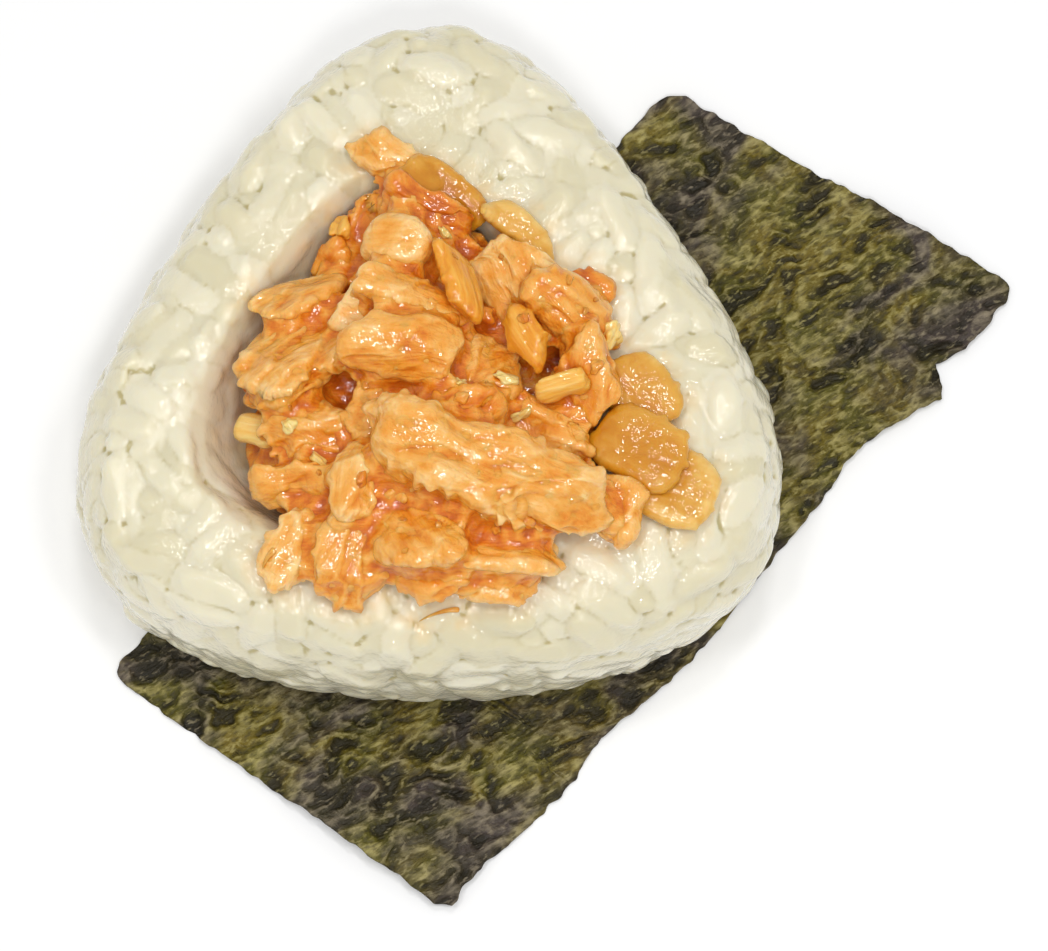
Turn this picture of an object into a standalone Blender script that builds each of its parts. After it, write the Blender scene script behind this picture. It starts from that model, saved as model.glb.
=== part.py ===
"""Onigiri: a moulded rice ball, open on top, with a heap of sauced flakes, lying on a torn strip of nori.

Lengths are in metres. +Z is up, +Y points to the rounded tip of the rice ball and +X to its right.
The origin lies on the resting plane, under the middle of the rice ball.
"""
import math
import random

import bmesh
import bpy
from mathutils import Matrix, Vector, noise
from mathutils.bvhtree import BVHTree

MM = 0.001
CLEARANCE = 0.3 * MM            # gap between pieces that touch
ABOVE_ALL = 100.0 * MM          # height from which the heap is felt

# Rice ball: a rounded triangle in plan, given by its reach from the middle.
RICE_REACH = 37.8 * MM          # mean reach of the outline
CORNER_PULL = 4.4 * MM          # the three corners stand out by this much, and the sides fall in
CORNER_ROUNDING = 0.5 * MM
BASE_SPREAD = 2.9 * MM          # the two lower corners reach further than the tip side
LENGTHENING = 0.6 * MM          # taller than wide
RICE_SEGMENTS = 64
# Half section from the middle of the underside to the middle of the hollow:
# share of the outline's reach, and height in millimetres.
UNDERSIDE = [(0.0, 0.0), (0.45, 0.0), (0.86, 0.0)]
WALL = [(0.935, 1.1), (0.975, 3.6), (0.997, 7.5), (1.0, 12.0), (0.995, 16.5), (0.975, 20.6), (0.93, 23.9)]
CROWN = [(0.865, 25.9), (0.77, 26.8), (0.67, 27.0)]
# The hollow has a middle of its own, so that the rice is thicker on the right.
HOLLOW_MIDDLE = Vector((-3.0, -3.0, 0.0)) * MM
HOLLOW = [(0.565, 26.3), (0.525, 24.4), (0.485, 21.0), (0.44, 17.6), (0.37, 15.2), (0.25, 14.2), (0.12, 13.9),
          (0.0, 13.8)]
RICE_SECTION = UNDERSIDE + WALL + CROWN + HOLLOW
LUMP_SIZE = 5.5 * MM            # spacing of the lumps that the pressed grains make
LUMP_HEIGHT = 1.0 * MM
LOWEST_LUMP = 0.6 * MM          # lumps of the wall stay above the resting plane

# Nori: a strip cut at both ends and torn along its right side.
NORI_LENGTH = 97.3 * MM
NORI_WIDTH = 47.4 * MM          # measured along the slanted ends
NORI_THICKNESS = 0.4 * MM
NORI_MIDDLE = Vector((15.3, -9.6)) * MM
NORI_YAW = math.radians(47.8)   # direction of its long side
NORI_LOWER_END_YAW = math.radians(-35.0)
NORI_UPPER_END_YAW = math.radians(-31.5)
NORI_CELLS = (30, 7)
NORI_FREE_FROM = 0.98           # share of the rice outline's reach where the strip begins to rise,
NORI_FREE_OVER = 0.4            # and over how much more it comes free
NORI_MEAN_LIFT = 0.9 * MM       # of the free ends
NORI_WAVE_HEIGHT = 2.6 * MM
NORI_WAVE_LENGTH = 21.0 * MM
# Torn side: distance from the lower end, and how far the edge stands out, in millimetres.
TEARS = [(0, 0.0), (5, -0.9), (12, 0.1), (20, 0.5), (25, -0.6), (34, 0.8), (40, 1.2), (57, 0.1), (65, -0.2),
         (70, -1.3), (76, 0.3), (81, 2.4), (84.5, -1.0), (89, 1.1), (93, 0.2), (97.3, 0.0)]
CHANNEL_MARGIN = 0.5 * MM       # room beside the nori in the underside of the rice
CHANNEL_STEPS = 24              # points along the channel's torn side

# Sauced bed that fills the hollow under the flakes.
BED_MIDDLE = Vector((-0.6, -4.6)) * MM
BED_SHARE = 0.5                 # of the rice outline's reach
BED_EDGE_HEIGHT = 21.5 * MM
BED_HEAP_HEIGHT = 26.4 * MM
BED_FULLNESS = 0.8              # below 1 the bed is blunter than an ellipse
BED_LUMP_SIZE = 5.0 * MM
BED_LUMP_HEIGHT = 1.2 * MM
BED_FEEL_REACH = 0.6 * MM
BED_SEGMENTS = 30
BED_RINGS = 10

# Flakes, slivers and slices, in the order in which they lie on each other. Millimetres and degrees:
# x, y of the middle, length, width, thickness, yaw, bend (how far the middle bows sideways), kind.
FILLING = {
    "flake_tail": (-4.9, 20.0, 8.2, 4.8, 2.2, -38, 0.0, "meat"),
    "flake_shoulder": (-6.3, 13.2, 10.2, 7.0, 3.2, 65, 0.5, "meat"),
    "onion_top": (1.4, 16.0, 9.6, 5.0, 1.4, -30, 0.6, "onion"),
    "flake_dark_top": (0.2, 13.2, 11.6, 6.6, 3.2, -13, 0.0, "meat"),
    "onion_crescent": (9.9, 11.4, 9.6, 3.0, 1.6, -42, 1.6, "onion"),
    "flake_skin_left": (-18.6, -2.6, 6.0, 3.8, 1.4, 60, 0.0, "skin"),
    "flake_skin_top": (-10.6, 9.0, 5.4, 3.4, 1.4, 52, 0.0, "skin"),
    "flake_edge_right": (17.6, 5.9, 6.2, 2.6, 1.4, -22, 0.0, "meat"),
    "onion_upper_right": (23.0, -6.8, 8.2, 6.8, 1.5, -60, 0.0, "onion"),
    "onion_lower_right": (26.4, -17.2, 9.2, 8.0, 1.4, -40, 0.0, "onion"),
    "onion_middle_right": (22.9, -13.2, 10.0, 7.4, 1.5, -28, 0.0, "onion"),
    "chunk_pink_dome": (9.6, 5.0, 12.6, 10.4, 5.0, -68, 0.4, "meat"),
    "flake_right_upper": (15.6, 1.2, 10.8, 6.6, 3.4, -50, 0.4, "meat"),
    "flake_right_lower": (17.3, -5.6, 12.0, 6.8, 3.6, -80, 0.0, "meat"),
    "flake_orange_mass": (12.8, -11.4, 14.0, 7.6, 3.8, -12, 0.0, "meat"),
    "ginger_left": (-18.3, -9.8, 4.8, 2.8, 2.0, -24, 0.0, "ginger"),
    "chunk_lumpy_upper": (-13.2, -11.4, 10.4, 7.8, 4.6, -16, 0.0, "meat"),
    "chunk_lumpy_lower": (-13.4, -17.0, 10.4, 6.8, 4.2, 8, 0.0, "meat"),
    "flake_tip_left": (-14.0, -24.3, 9.4, 6.2, 2.8, 62, 0.3, "meat"),
    "flake_bottom_left": (-7.9, -25.6, 10.2, 7.6, 3.6, 74, 0.0, "meat"),
    "flake_bottom_low": (7.2, -27.8, 10.8, 4.6, 2.8, -9, 0.3, "meat"),
    "flake_bottom_edge": (0.0, -27.6, 9.6, 4.2, 2.4, -14, 0.4, "meat"),
    "flake_bottom_right": (7.6, -24.6, 13.4, 5.6, 3.2, -10, 0.0, "meat"),
    "flake_bottom_mid": (-0.8, -23.0, 9.6, 8.0, 4.0, -8, 0.0, "meat"),
    "flake_left_low": (-16.0, -6.2, 10.6, 5.4, 2.8, 6, 0.4, "meat"),
    "flake_left": (-13.2, -2.2, 13.8, 10.2, 4.0, 28, 0.6, "meat"),
    "flake_upper_left": (-14.2, 4.4, 11.0, 4.6, 2.6, 27, 0.0, "meat"),
    "flake_gold": (-0.9, 7.2, 11.4, 7.2, 3.4, -12, 0.0, "meat"),
    "nub_round": (-3.2, 9.0, 6.8, 5.8, 4.0, -20, 0.0, "meat"),
    "flake_mid_left": (-3.9, -8.6, 9.6, 8.8, 4.0, 6, 0.0, "meat"),
    "chunk_crumbed": (5.9, -5.7, 10.4, 9.6, 4.4, 18, 0.0, "meat"),
    "flake_brown_mid": (3.6, -10.6, 10.0, 5.8, 3.2, -8, 0.0, "meat"),
    "chunk_pink_block": (-5.0, 1.2, 11.4, 7.0, 4.8, -8, 0.0, "meat"),
    "flake_long": (-0.8, 2.4, 13.8, 4.2, 3.2, -20, 0.6, "meat"),
    "ginger_upper": (3.5, 4.2, 10.8, 3.2, 2.4, -74, 0.7, "ginger"),
    "ginger_right": (10.7, -1.7, 9.0, 3.0, 2.4, -62, 0.5, "ginger"),
    "ginger_small": (15.1, -7.0, 6.8, 2.3, 1.9, 12, 0.3, "ginger"),
    "chunk_slab": (-1.9, -3.5, 13.2, 6.6, 4.8, 1, 0.4, "meat"),
    "flake_wing": (-2.4, -17.4, 8.4, 5.8, 3.2, 30, 0.0, "meat"),
    "flake_finger": (-7.3, -17.6, 10.4, 4.0, 3.6, 84, 0.3, "meat"),
    "nub_lower_right": (20.2, -20.4, 6.8, 6.0, 3.8, 70, 0.0, "meat"),
    "chunk_long": (7.0, -17.2, 29.0, 12.0, 6.6, -25, 0.5, "meat"),
}
KIND_BLUNTNESS = {"meat": 0.62, "onion": 0.5, "ginger": 0.7, "skin": 0.5}
KIND_RAGGEDNESS = {"meat": 0.16, "onion": 0.1, "ginger": 0.05, "skin": 0.22}
SQUARENESS = 0.78               # below 1 the ends of a piece are blunter than an ellipse
LARGE_PIECE = 12.0 * MM         # from this length a piece gets more facets
FELT_RINGS = (0.25, 0.5, 0.75, 0.95)    # where a piece feels for its seat, from its middle to its edge
SLOPE_SHARE = 0.75              # a piece leans a little less than what it lies on
PRESS_SHARE = 0.35              # share of a piece's underside that hangs over its seat, the rest is pushed up
SAG = 1.4 * MM                  # a piece bulges down into the dents below it by this much at most
EDGE_CURL = 0.35                # the underside rises by this share of the thickness towards the edge
CLIMB_LIMIT = 2.4 * MM          # a piece draws its edge in where it would have to climb further than this,
LEAST_REACH = 0.55              # but keeps this share of its reach
REACH_STEP = 0.05
EDGE_HEIGHT = 0.45              # height of a piece's upper side at its edge, as a share of its thickness
CROWN_BLUNTNESS = 0.6
THINNEST = 0.7 * MM
RAGGED_TURNS = 1.6              # how often the outline of a piece swings in and out
PIECE_LUMP_SIZE = 3.0 * MM
PIECE_LUMP_SHARE = 0.22         # of the thickness
FEEL_REACH = 1.25 * MM          # the height below a point is the highest within this distance,
FEEL_SHARE = 0.04               # plus this share of the piece's length
FEEL_DIRECTIONS = 8

# Colours are linear RGB, followed by roughness.
FINISHES = {
    "rice": ((0.78, 0.74, 0.58), 0.35),
    "nori": ((0.055, 0.05, 0.02), 0.5),
    "sauce": ((0.5, 0.16, 0.03), 0.3),
    "meat": ((0.75, 0.36, 0.12), 0.35),
    "onion": ((0.65, 0.36, 0.1), 0.2),
    "ginger": ((0.85, 0.5, 0.16), 0.3),
    "skin": ((0.35, 0.13, 0.04), 0.35),
}


def clear_scene():
    for thing in list(bpy.data.objects):
        bpy.data.objects.remove(thing, do_unlink=True)


def new_collection(name):
    collection = bpy.data.collections.new(name)
    bpy.context.scene.collection.children.link(collection)
    return collection


def finish(node, kind):
    """Give the object a Principled material of its own."""
    colour, roughness = FINISHES[kind]
    material = bpy.data.materials.new(node.name)
    material.use_nodes = True
    shader = material.node_tree.nodes["Principled BSDF"]
    shader.inputs["Base Color"].default_value = (*colour, 1.0)
    shader.inputs["Roughness"].default_value = roughness
    shader.inputs["Metallic"].default_value = 0.0
    material.diffuse_color = (*colour, 1.0)
    node.data.materials.append(material)


def object_from(shape, name, collection, kind):
    """Turn a finished bmesh into a smooth-shaded object."""
    mesh = bpy.data.meshes.new(name)
    shape.to_mesh(mesh)
    shape.free()
    mesh.shade_smooth()
    node = bpy.data.objects.new(name, mesh)
    collection.objects.link(node)
    finish(node, kind)
    return node


def outline_reach(angle):
    """Distance from the middle of the rice ball to its outline; the tip lies at 90 degrees."""
    turn = angle - math.pi / 2
    corners = CORNER_PULL * math.cos(3 * turn) + CORNER_ROUNDING * math.cos(6 * turn)
    return RICE_REACH - BASE_SPREAD * math.cos(turn) + LENGTHENING * math.cos(2 * turn) + corners


def outline_share(x, y):
    """How far out a point of the plan lies, as a share of the outline's reach in its direction."""
    return math.hypot(x, y) / outline_reach(math.atan2(y, x))


def outline_point(angle, share, height):
    """Point of the rounded triangle, drawn in to a share of its full size."""
    reach = share * outline_reach(angle)
    return Vector((reach * math.cos(angle), reach * math.sin(angle), height))


def grain_lump(point):
    """Height of the lumps that pressed grains make: bulging cells with creases between them."""
    distances, _ = noise.voronoi(point / LUMP_SIZE)
    bulge = min(distances[1] - distances[0], 0.6) / 0.6
    return LUMP_HEIGHT * (bulge - 0.6)


def ring_number(vertex, rings):
    """Which ring of an upright unit sphere a vertex is on, counted from the lower pole."""
    latitude = math.asin(max(-1.0, min(1.0, vertex.co.z)))
    return round((latitude / math.pi + 0.5) * rings)


def make_rice(collection):
    """The rice ball: a sphere whose rings are laid along the section, one ring for each of its points."""
    rings = len(RICE_SECTION) - 1
    first_lumpy_ring = len(UNDERSIDE)
    first_pressed_ring = rings + 1 - len(HOLLOW)
    shape = bmesh.new()
    bmesh.ops.create_uvsphere(shape, u_segments=RICE_SEGMENTS, v_segments=rings, radius=1.0)
    lumpy = []
    for vertex in shape.verts:
        ring = ring_number(vertex, rings)
        share, height = RICE_SECTION[ring]
        vertex.co = outline_point(math.atan2(vertex.co.y, vertex.co.x), share, height * MM)
        if ring >= first_pressed_ring:
            vertex.co += HOLLOW_MIDDLE
        elif ring >= first_lumpy_ring:
            lumpy.append(vertex)
    shape.normal_update()
    outward = {vertex: vertex.normal.copy() for vertex in lumpy}
    for vertex in lumpy:
        vertex.co += outward[vertex] * grain_lump(vertex.co)
        vertex.co.z = max(vertex.co.z, LOWEST_LUMP)
    return object_from(shape, "rice", collection, "rice")


def tear_depth(along):
    """How far the torn side of the nori stands out, at a distance from its lower end."""
    place = along / MM
    for (start, before), (end, after) in zip(TEARS, TEARS[1:]):
        if place <= end:
            return (before + (after - before) * (place - start) / (end - start)) * MM
    return 0.0


def nori_point(along, across):
    """Point of the strip in the plan; along runs from 0 to 1, and across from -1 to 1 at the torn side."""
    length_way = Vector((math.cos(NORI_YAW), math.sin(NORI_YAW)))
    end_yaw = NORI_LOWER_END_YAW + (NORI_UPPER_END_YAW - NORI_LOWER_END_YAW) * along
    end_way = Vector((math.cos(end_yaw), math.sin(end_yaw)))
    half_width = NORI_WIDTH / 2
    sideways = across * half_width
    if across > 0:
        sideways += tear_depth(along * NORI_LENGTH) * across ** 3
    return NORI_MIDDLE + length_way * (along - 0.5) * NORI_LENGTH + end_way * sideways


def nori_lift(x, y):
    """The strip lies flat under the rice, and its free ends rise in low waves."""
    freedom = (outline_share(x, y) - NORI_FREE_FROM) / NORI_FREE_OVER
    freedom = max(0.0, min(1.0, freedom))
    ripple = noise.noise(Vector((x, y, CLEARANCE)) / NORI_WAVE_LENGTH)
    return freedom * max(0.0, NORI_MEAN_LIFT + NORI_WAVE_HEIGHT * ripple)


def make_nori(collection):
    shape = bmesh.new()
    cells_along, cells_across = NORI_CELLS
    bmesh.ops.create_grid(shape, x_segments=cells_along, y_segments=cells_across, size=1.0)
    for vertex in shape.verts:
        spot = nori_point((vertex.co.x + 1) / 2, vertex.co.y * -1)
        vertex.co = Vector((spot.x, spot.y, nori_lift(spot.x, spot.y)))
    node = object_from(shape, "nori", collection, "nori")
    if node.data.polygons[0].normal.z < 0:
        node.data.flip_normals()
    solid = node.modifiers.new("thickness", "SOLIDIFY")
    solid.thickness = NORI_THICKNESS
    solid.offset = 1.0
    return node


def cut_nori_channel(rice, cutters):
    """Press a shallow channel into the underside, so that rice and nori rest on one plane."""
    shape = bmesh.new()
    along_margin = CHANNEL_MARGIN / NORI_LENGTH
    across_margin = CHANNEL_MARGIN / NORI_WIDTH * 2
    edge = []
    for step in range(CHANNEL_STEPS + 1):
        along = step / CHANNEL_STEPS
        edge.append((along + (2 * along - 1) * along_margin, 1 + across_margin))
    for along in (1 + along_margin, -along_margin):
        edge.append((along, -1 - across_margin))
    corners = []
    for along, across in edge:
        spot = nori_point(along, across)
        corners.append(shape.verts.new((spot.x, spot.y, -1 * MM)))
    floor = shape.faces.new(corners)
    raised = bmesh.ops.extrude_face_region(shape, geom=[floor])
    depth = NORI_THICKNESS + CLEARANCE
    for item in raised["geom"]:
        if isinstance(item, bmesh.types.BMVert):
            item.co.z = depth
    bmesh.ops.recalc_face_normals(shape, faces=shape.faces)
    cutter = object_from(shape, "nori_channel", cutters, "nori")
    cutter.hide_render = True
    cutter.display_type = "WIRE"
    cut = rice.modifiers.new("nori channel", "BOOLEAN")
    cut.operation = "DIFFERENCE"
    cut.solver = "EXACT"
    cut.object = cutter


class Heap:
    """What has been laid so far, felt from above."""

    def __init__(self):
        self.trees = []

    def add(self, node):
        world = [node.matrix_world @ vertex.co for vertex in node.data.vertices]
        faces = [polygon.vertices[:] for polygon in node.data.polygons]
        self.trees.append(BVHTree.FromPolygons(world, faces))

    def height_at(self, x, y):
        top = 0.0
        for tree in self.trees:
            hit = tree.ray_cast(Vector((x, y, ABOVE_ALL)), Vector((0, 0, -1)))[0]
            if hit is not None:
                top = max(top, hit.z)
        return top

    def height_around(self, x, y, reach):
        """The highest point near a place, so that straight facets between places clear it too."""
        heights = [self.height_at(x, y)]
        for step in range(FEEL_DIRECTIONS):
            angle = step * 2 * math.pi / FEEL_DIRECTIONS
            heights.append(self.height_at(x + reach * math.cos(angle), y + reach * math.sin(angle)))
        return max(heights)


def make_bed(collection, heap):
    """The sauced bed: it follows the hollow below, and swells to a low heap above."""
    shape = bmesh.new()
    bmesh.ops.create_uvsphere(shape, u_segments=BED_SEGMENTS, v_segments=BED_RINGS, radius=1.0)
    for vertex in shape.verts:
        angle = math.atan2(vertex.co.y, vertex.co.x)
        from_pole = 1 - abs(2 * ring_number(vertex, BED_RINGS) / BED_RINGS - 1)
        inward = from_pole ** BED_FULLNESS
        spot = BED_MIDDLE + outline_point(angle, inward * BED_SHARE, 0).xy
        x, y = spot
        floor = heap.height_around(x, y, BED_FEEL_REACH) + CLEARANCE
        heaped = BED_EDGE_HEIGHT + (BED_HEAP_HEIGHT - BED_EDGE_HEIGHT) * (1 - inward ** 2)
        lump = BED_LUMP_HEIGHT * noise.noise(Vector((x, y, 0)) / BED_LUMP_SIZE)
        is_top = vertex.co.z > 0.01
        vertex.co = Vector((x, y, max(floor + THINNEST, heaped + lump) if is_top else floor))
    return object_from(shape, "filling_bed", collection, "sauce")


def fitted_plane(places):
    """Least-squares plane through (x, y, z) places: returns the middle and the slopes along x and y."""
    count = len(places)
    middle = sum((Vector(place) for place in places), Vector()) / count
    xx = sum((place[0] - middle.x) ** 2 for place in places)
    yy = sum((place[1] - middle.y) ** 2 for place in places)
    xy = sum((place[0] - middle.x) * (place[1] - middle.y) for place in places)
    xz = sum((place[0] - middle.x) * (place[2] - middle.z) for place in places)
    yz = sum((place[1] - middle.y) * (place[2] - middle.z) for place in places)
    spread = xx * yy - xy * xy
    return middle, (xz * yy - yz * xy) / spread, (yz * xx - xz * xy) / spread


class Piece:
    """A flake, sliver or slice of the filling: a flattened sphere that settles on what lies below it."""

    def __init__(self, name, number, sizes):
        x, y, length, width, thickness, yaw, bend, self.kind = sizes
        self.name = name
        self.middle = Vector((x, y)) * MM
        self.half_length = length * MM / 2
        self.half_width = width * MM / 2
        self.thickness = thickness * MM
        self.bend = bend * MM
        self.turn = Matrix.Rotation(math.radians(yaw), 2)
        self.feel = FEEL_REACH + FEEL_SHARE * length * MM
        self.blunt = KIND_BLUNTNESS[self.kind]
        chance = random.Random(number)
        self.seed = Vector((chance.uniform(0, 50), chance.uniform(0, 50), chance.uniform(0, 50)))

    def spot(self, angle, inward):
        """Place in the plan: inward is 0 in the middle and 1 on the edge."""
        ragged = 1 + 2 * KIND_RAGGEDNESS[self.kind] * noise.noise(
            Vector((math.cos(angle), math.sin(angle), 0)) * RAGGED_TURNS + self.seed)
        along = math.copysign(abs(math.cos(angle)) ** SQUARENESS, math.cos(angle)) * inward * ragged
        across = math.copysign(abs(math.sin(angle)) ** SQUARENESS, math.sin(angle)) * inward * ragged
        flat = Vector((along * self.half_length,
                       across * self.half_width + self.bend * (0.5 - along * along)))
        return self.middle + self.turn @ flat

    def settle(self, heap, directions):
        """Find the seat: a plane that rests on the heap, and how far the edge can reach each way."""
        felt = []
        for angle in directions:
            for inward in FELT_RINGS:
                spot = self.spot(angle, inward)
                felt.append((spot.x, spot.y, heap.height_around(spot.x, spot.y, self.feel)))
        middle, slope_x, slope_y = fitted_plane(felt)
        self.slopes = (SLOPE_SHARE * slope_x, SLOPE_SHARE * slope_y)
        self.level_middle = middle
        rises = sorted(z - self.plane(x, y) for x, y, z in felt)
        self.level_middle = middle + Vector((0, 0, rises[int(PRESS_SHARE * (len(rises) - 1))]))
        self.reach = {}
        for angle in directions:
            reach = 1.0
            while reach > LEAST_REACH and self.climb(heap, angle, reach) > CLIMB_LIMIT:
                reach -= REACH_STEP
            self.reach[angle] = reach

    def plane(self, x, y):
        offset_x = x - self.level_middle.x
        offset_y = y - self.level_middle.y
        return self.level_middle.z + self.slopes[0] * offset_x + self.slopes[1] * offset_y

    def climb(self, heap, angle, reach):
        spot = self.spot(angle, reach)
        return heap.height_around(spot.x, spot.y, self.feel) - self.plane(spot.x, spot.y)

    def place(self, unit, heap):
        """World position of one vertex of the unit sphere."""
        angle = round(math.atan2(unit.y, unit.x), 4)
        inward = math.hypot(unit.x, unit.y) ** self.blunt
        spot = self.spot(angle, inward * self.reach.get(angle, 1.0))
        level = self.plane(spot.x, spot.y)
        floor = heap.height_around(spot.x, spot.y, self.feel) + CLEARANCE
        bulge = self.thickness * EDGE_CURL * inward ** 4 - SAG * (1 - inward ** 2)
        below = max(floor, level + CLEARANCE + bulge)
        if unit.z < -0.01:
            return Vector((spot.x, spot.y, below))
        dent = noise.noise(Vector((spot.x, spot.y, 0)) / PIECE_LUMP_SIZE + self.seed)
        lump = PIECE_LUMP_SHARE * self.thickness * dent
        crown = self.thickness * (EDGE_HEIGHT + (1 - EDGE_HEIGHT) * abs(unit.z) ** CROWN_BLUNTNESS)
        above = max(level + crown + lump, below + THINNEST * (0.5 + abs(unit.z)))
        return Vector((spot.x, spot.y, above))


def make_piece(name, number, sizes, collection, heap):
    piece = Piece(name, number, sizes)
    large = piece.half_length * 2 >= LARGE_PIECE
    segments, rings = (16, 8) if large else (12, 6)
    shape = bmesh.new()
    bmesh.ops.create_uvsphere(shape, u_segments=segments, v_segments=rings, radius=1.0)
    directions = sorted({round(math.atan2(vertex.co.y, vertex.co.x), 4)
                         for vertex in shape.verts if abs(vertex.co.z) < 0.99})
    piece.settle(heap, directions)
    for vertex in shape.verts:
        vertex.co = piece.place(vertex.co.copy(), heap)
    return object_from(shape, name, collection, piece.kind)


def main():
    clear_scene()
    onigiri = new_collection("onigiri")
    cutters = new_collection("cutters")
    rice = make_rice(onigiri)
    heap = Heap()
    heap.add(rice)
    make_nori(onigiri)
    cut_nori_channel(rice, cutters)
    heap.add(make_bed(onigiri, heap))
    for number, (name, sizes) in enumerate(FILLING.items()):
        heap.add(make_piece(name, number, sizes, onigiri, heap))


main()
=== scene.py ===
"""The looks of the onigiri: pressed rice grains, sauced flakes with onion and ginger, and a strip of nori.

Every piece starts from the CAD node that it replaces, so it lies where that node lies. Lengths are in
metres, unless a comment gives them in millimetres.
"""
import math
import random

import bmesh
import bpy
import numpy as np
from mathutils import Matrix, Vector, kdtree, noise
from mathutils.bvhtree import BVHTree


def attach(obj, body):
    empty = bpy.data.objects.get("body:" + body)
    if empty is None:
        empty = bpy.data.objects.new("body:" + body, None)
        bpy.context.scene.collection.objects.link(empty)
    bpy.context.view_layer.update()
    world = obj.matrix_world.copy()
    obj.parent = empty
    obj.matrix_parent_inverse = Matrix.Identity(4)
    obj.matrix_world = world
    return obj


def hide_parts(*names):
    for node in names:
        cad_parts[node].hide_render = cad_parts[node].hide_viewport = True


MM = 0.001
UP = Vector((0, 0, 1))
NOISE_SEED = 5  # noise_vector draws its offsets from this; without it, from the clock

# Rice grains: sizes in millimetres.
RICE_SEED = 41
GRAIN_LENGTH = (6.0, 8.6)
GRAIN_WIDTH = (2.8, 3.7)
GRAIN_THICKNESS = (2.4, 2.9)
GRAIN_BEND = 0.5
GRAIN_BLUNTNESS = 2.5
GRAIN_RINGS = 10
GRAIN_SIDES = 10
# Layers of grains: how deep their middles lie, how far apart their axes keep, how many tries.
GRAIN_LAYERS = [(1.0, 2.65, 5000), (1.05, 2.3, 6000), (1.2, 1.95, 6000), (1.5, 1.6, 5000)]
AXIS_POINTS = 5  # points of a grain's axis that keep clear of the other axes
AXIS_SPAN = 0.36  # half the length of that axis, as a share of the grain's length
AXES_NEAR = 9 * MM  # axes further off than this aren't looked at
GRAIN_TURNS = 7  # directions tried for a grain; the one that lies clearest is kept
GRAIN_TILT = math.radians(7)  # spread of the slopes of grains that lie flat
END_ON_SHARE = 0.04  # share of the grains that stand on end,
END_ON_PITCH = (50, 80)  # at slopes of so many degrees,
END_ON_SINK = 0.32  # and deeper by this share of their length
BASE_HEIGHT = 0.9 * MM  # under this height, faces that look down are the base,
BASE_SLOPE = -0.7  # where no grains are laid
# The pressed hollow, seen from above.
HOLLOW_X = -3 * MM
HOLLOW_Y = -3 * MM
HOLLOW_RADIUS = 23 * MM
HOLLOW_LOWEST = 12 * MM
PRESS_START = -0.1 * MM  # grains are pressed where they reach higher than this over the mould,
PRESS_SPREAD = 0.26 * MM  # or, some of them, from up to this much lower
HOLLOW_SPREAD = 0.25  # share of that spread in the hollow
PRESS_OUTSIDE = 0.96  # share of the height over that level which is pressed away,
PRESS_HOLLOW = 0.97  # and the same in the hollow
CORE_INSET = 0.55 * MM  # the core lies this far under the moulded surface,
HOLLOW_INSET = 0.32 * MM  # and less in the hollow, which is pressed smooth
RICE_VOXEL = 0.36 * MM
RICE_TRIANGLES = 194000
# Creases between two grains, and pits where three meet, which the material darkens with painted shade. Both
# come and go in patches.
OWNER_POINTS = 7  # points of a grain's axis that tell which grain a place is on
OWNER_SPAN = 0.38
OWNERS_FOUND = 14  # enough of them for two grains at least
CREASE_WIDTH = 0.24 * MM
CREASE_DEPTH = 0.1 * MM
CREASE_PATCH = 4 * MM
CREASE_MEAN = 0.5
CREASE_SWING = 1.1
CREASE_LEAST = 0.1
HOLLOW_CREASE = 0.4  # no crease in the hollow is stronger
PIT_WIDTH = 0.58 * MM
PIT_DEPTH = 0.3 * MM
PIT_PATCH = 3 * MM
PIT_MEAN = 0.4
PIT_SWING = 2.5

# Flakes of the filling.
FLAKE_VOXEL = 0.27 * MM
FLAKE_SWELL = 0.45 * MM  # a flake is a little fuller than its solid, and nestles into the others
CHISEL_CUTS = 9  # torn faces of a flake
CHISEL_REACH = (0.58, 0.84)  # how far out they lie, as a share of its half size
CHISEL_SHARPNESS = 0.92
SMOOTH_RIM = 0.25  # a piece whose rim is torn by no more than this keeps its round sides
LAYER_WIDTH = 3.0 * MM  # a flake parts into layers that lie over each other like shingles
LAYER_DROP = 0.18  # share of a layer's width over which it falls to the next one
LAYER_HEIGHT = 0.75  # all layers are this much flatter than FLAKES says
LAYER_SLANT = 0.35  # the layers run askew to the flake,
LAYER_WARP = 2.2 * MM  # and wander by this much
WARP_SIZE = 5 * MM
STRAND_LENGTH = 4.5 * MM
STRAND_WIDTH = 0.65 * MM
FLESH_STRANDS = 0.09  # height of the fine strands, in millimetres
ONION_STRANDS = 0.02
GINGER_STRANDS = 0.14
LUMP_SIZE = 3.6 * MM
JAG_SIZE = 1.1 * MM
RIM_FRINGE = 1.3  # the torn rim stands out by this share of the tear
RELIEF_RANGE = 90  # each flake's relief is taken from somewhere else in the noise
RIDGE_ROUNDS = 14  # smoothing rounds that a ridge has to stand out from
RIDGE_HEIGHT = 0.12 * MM  # height that counts as a full ridge
BED_VOXEL = 0.4 * MM
BED_SWELL = 1.2 * MM  # gaps narrower than twice this are filled
BED_SINK = 0.15 * MM  # the filling of a gap lies this far under the flakes around it
BED_ROUGHNESS = 0.35 * MM
BED_GRAIN = 1.2 * MM
BED_TONE = 0.45
# How much stands over a place is felt with a few rays around its normal; the filling is darkened there with
# gathered sauce and painted shade.
DEPTH_RAYS = 6
DEPTH_REACH = 4.5 * MM
DEPTH_LEAN = 0.75  # the rays lean this much towards the normal,
DEPTH_START = 0.2  # and start this far over the surface, in millimetres

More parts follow.
